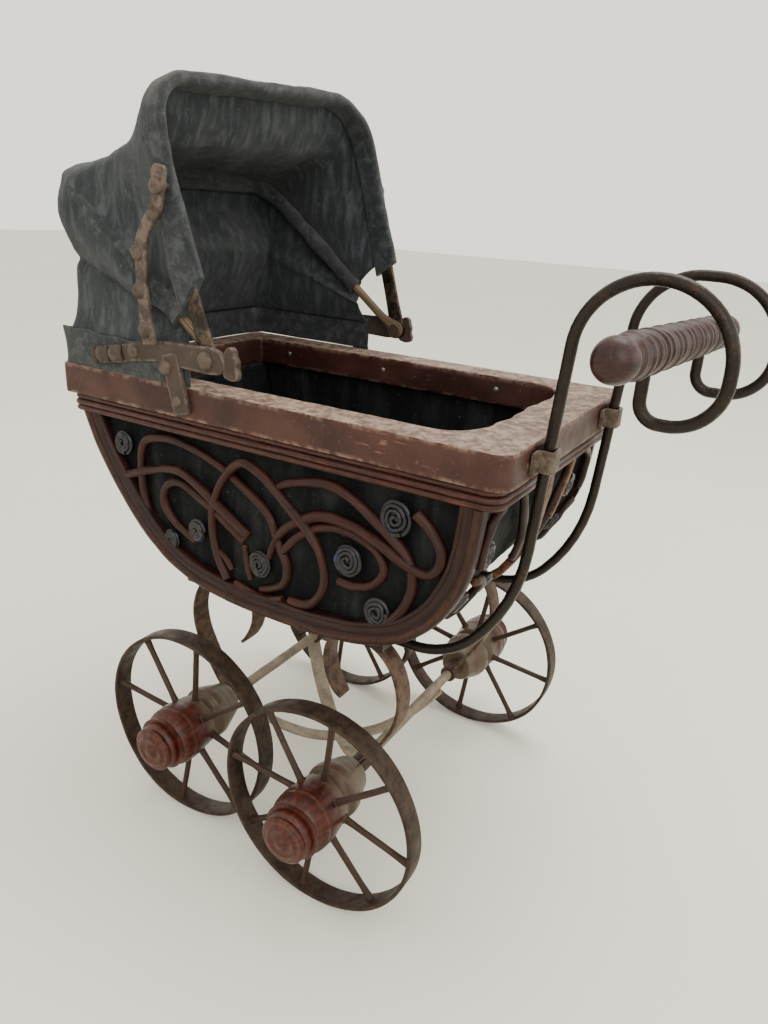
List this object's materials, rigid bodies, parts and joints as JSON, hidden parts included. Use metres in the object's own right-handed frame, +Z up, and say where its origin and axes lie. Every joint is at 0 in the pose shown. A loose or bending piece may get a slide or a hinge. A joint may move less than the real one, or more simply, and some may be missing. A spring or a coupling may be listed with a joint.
{
  "type": "doll stroller",
  "caption": "Doll carriage with a boat-shaped scrolled cane body, folding cloth hood, scroll handle rods with a turned grip, C springs and banded spoked wheels.",
  "frame": {"origin": "on the floor, centre of the overall bounding box in plan", "axes": "+X towards the handle end, -X towards the hood end, +Y to the far side of the picture, +Z up"},
  "size_m": [0.3516, 0.2668, 0.4174],
  "materials": {
    "board_paint": "dark red-brown satin paint, dusty on top",
    "cane": "red-brown varnished cane, worn",
    "coil_paint": "glossy blue-black painted cane",
    "black_cloth": "black woven cotton, dusty",
    "plain_wood": "bare dusty wood",
    "turned_wood": "dark red turned wood, semi-gloss",
    "nail_steel": "dull",
    "bracket_iron": "brown paint, worn and dusty",
    "rod_iron": "dark bronze semi-gloss",
    "spring_iron": "brown paint, worn and dusty",
    "axle_iron": "grey-beige dust over brown paint"
  },
  "bodies": {
    "carriage": {"rim_boards": "board_paint", "rim_molding": "cane", "side_frame_near": "cane", "side_frame_far": "cane", "scrolls_near": "cane", "scrolls_far": "cane", "end_scrolls_handle": "cane", "end_scrolls_hood": "cane", "coils_near": "coil_paint", "coils_far": "coil_paint", "coils_ends": "coil_paint", "tub_lining": "black_cloth", "base_board": "plain_wood", "rim_nails": "nail_steel", "handle_clips": "bracket_iron", "clip_screws": "nail_steel", "handle_rod_near": "rod_iron", "handle_rod_far": "rod_iron", "handle_grip": "turned_wood", "spring_hood_near": "spring_iron", "spring_hood_far": "spring_iron", "spring_handle_near": "spring_iron", "spring_handle_far": "spring_iron", "spring_bolts": "bracket_iron", "axle_hood": "axle_iron", "axle_handle": "axle_iron", "brace_a": "axle_iron", "brace_b": "axle_iron", "hood_plate_near": "bracket_iron", "hood_plate_far": "bracket_iron", "hood_rivets": "bracket_iron", "hood_skirt": "black_cloth", "bow_bolts": "bracket_iron", "hood_cover_rear": "black_cloth"},
    "hood_mid": {"bow_mid": "plain_wood", "bow_mid_sleeve": "black_cloth"},
    "hood_front": {"bow_front": "rod_iron", "bow_front_hem": "black_cloth", "hood_cover_front": "black_cloth", "stay_pins": "bracket_iron"},
    "stay_arm_near": {"stay_near": "bracket_iron", "stay_rivets_near": "bracket_iron"},
    "stay_arm_far": {"stay_far": "bracket_iron", "stay_rivets_far": "bracket_iron"},
    "wheel_hn": {"wheel_hn_band": "spring_iron", "wheel_hn_spokes": "spring_iron", "wheel_hn_hub": "turned_wood", "wheel_hn_cap": "turned_wood"},
    "wheel_hf": {"wheel_hf_band": "spring_iron", "wheel_hf_spokes": "spring_iron", "wheel_hf_hub": "turned_wood", "wheel_hf_cap": "turned_wood"},
    "wheel_gn": {"wheel_gn_band": "spring_iron", "wheel_gn_spokes": "spring_iron", "wheel_gn_hub": "turned_wood", "wheel_gn_cap": "turned_wood"},
    "wheel_gf": {"wheel_gf_band": "spring_iron", "wheel_gf_spokes": "spring_iron", "wheel_gf_hub": "turned_wood", "wheel_gf_cap": "turned_wood"}
  },
  "joints": [
    {"name": "wheel_hn_spin", "type": "hinge", "parent": "carriage", "child": "wheel_hn", "pos_m": [-0.0868, -0.0864, 0.06], "axis": [0, 1, 0], "continuous": true},
    {"name": "wheel_hf_spin", "type": "hinge", "parent": "carriage", "child": "wheel_hf", "pos_m": [-0.0868, 0.0864, 0.06], "axis": [0, 1, 0], "continuous": true},
    {"name": "wheel_gn_spin", "type": "hinge", "parent": "carriage", "child": "wheel_gn", "pos_m": [0.0172, -0.0992, 0.06], "axis": [0, 1, 0], "continuous": true},
    {"name": "wheel_gf_spin", "type": "hinge", "parent": "carriage", "child": "wheel_gf", "pos_m": [0.0172, 0.0992, 0.06], "axis": [0, 1, 0], "continuous": true},
    {"name": "hood_mid_fold", "type": "hinge", "parent": "carriage", "child": "hood_mid", "pos_m": [-0.0608, 0, 0.283], "axis": [0, -1, 0], "range_deg": [0, 23], "deforming": ["hood_cover_rear"]},
    {"name": "hood_front_fold", "type": "hinge", "parent": "hood_mid", "child": "hood_front", "pos_m": [-0.0608, 0, 0.283], "axis": [0, -1, 0], "range_deg": [0, 17], "deforming": ["hood_cover_front"]},
    {"name": "stay_near_fold", "type": "hinge", "parent": "hood_front", "child": "stay_arm_near", "pos_m": [-0.0853, -0.092, 0.3612], "axis": [0, -1, 0], "range_deg": [0, 40]},
    {"name": "stay_far_fold", "type": "hinge", "parent": "hood_front", "child": "stay_arm_far", "pos_m": [-0.0853, 0.092, 0.3612], "axis": [0, -1, 0], "range_deg": [0, 40]}
  ],
  "couplings": [
    {"joint": "hood_front_fold", "follows": "hood_mid_fold", "ratio": 0.739},
    {"joint": "stay_near_fold", "follows": "hood_mid_fold", "ratio": 1.739},
    {"joint": "stay_far_fold", "follows": "hood_mid_fold", "ratio": 1.739}
  ]
}
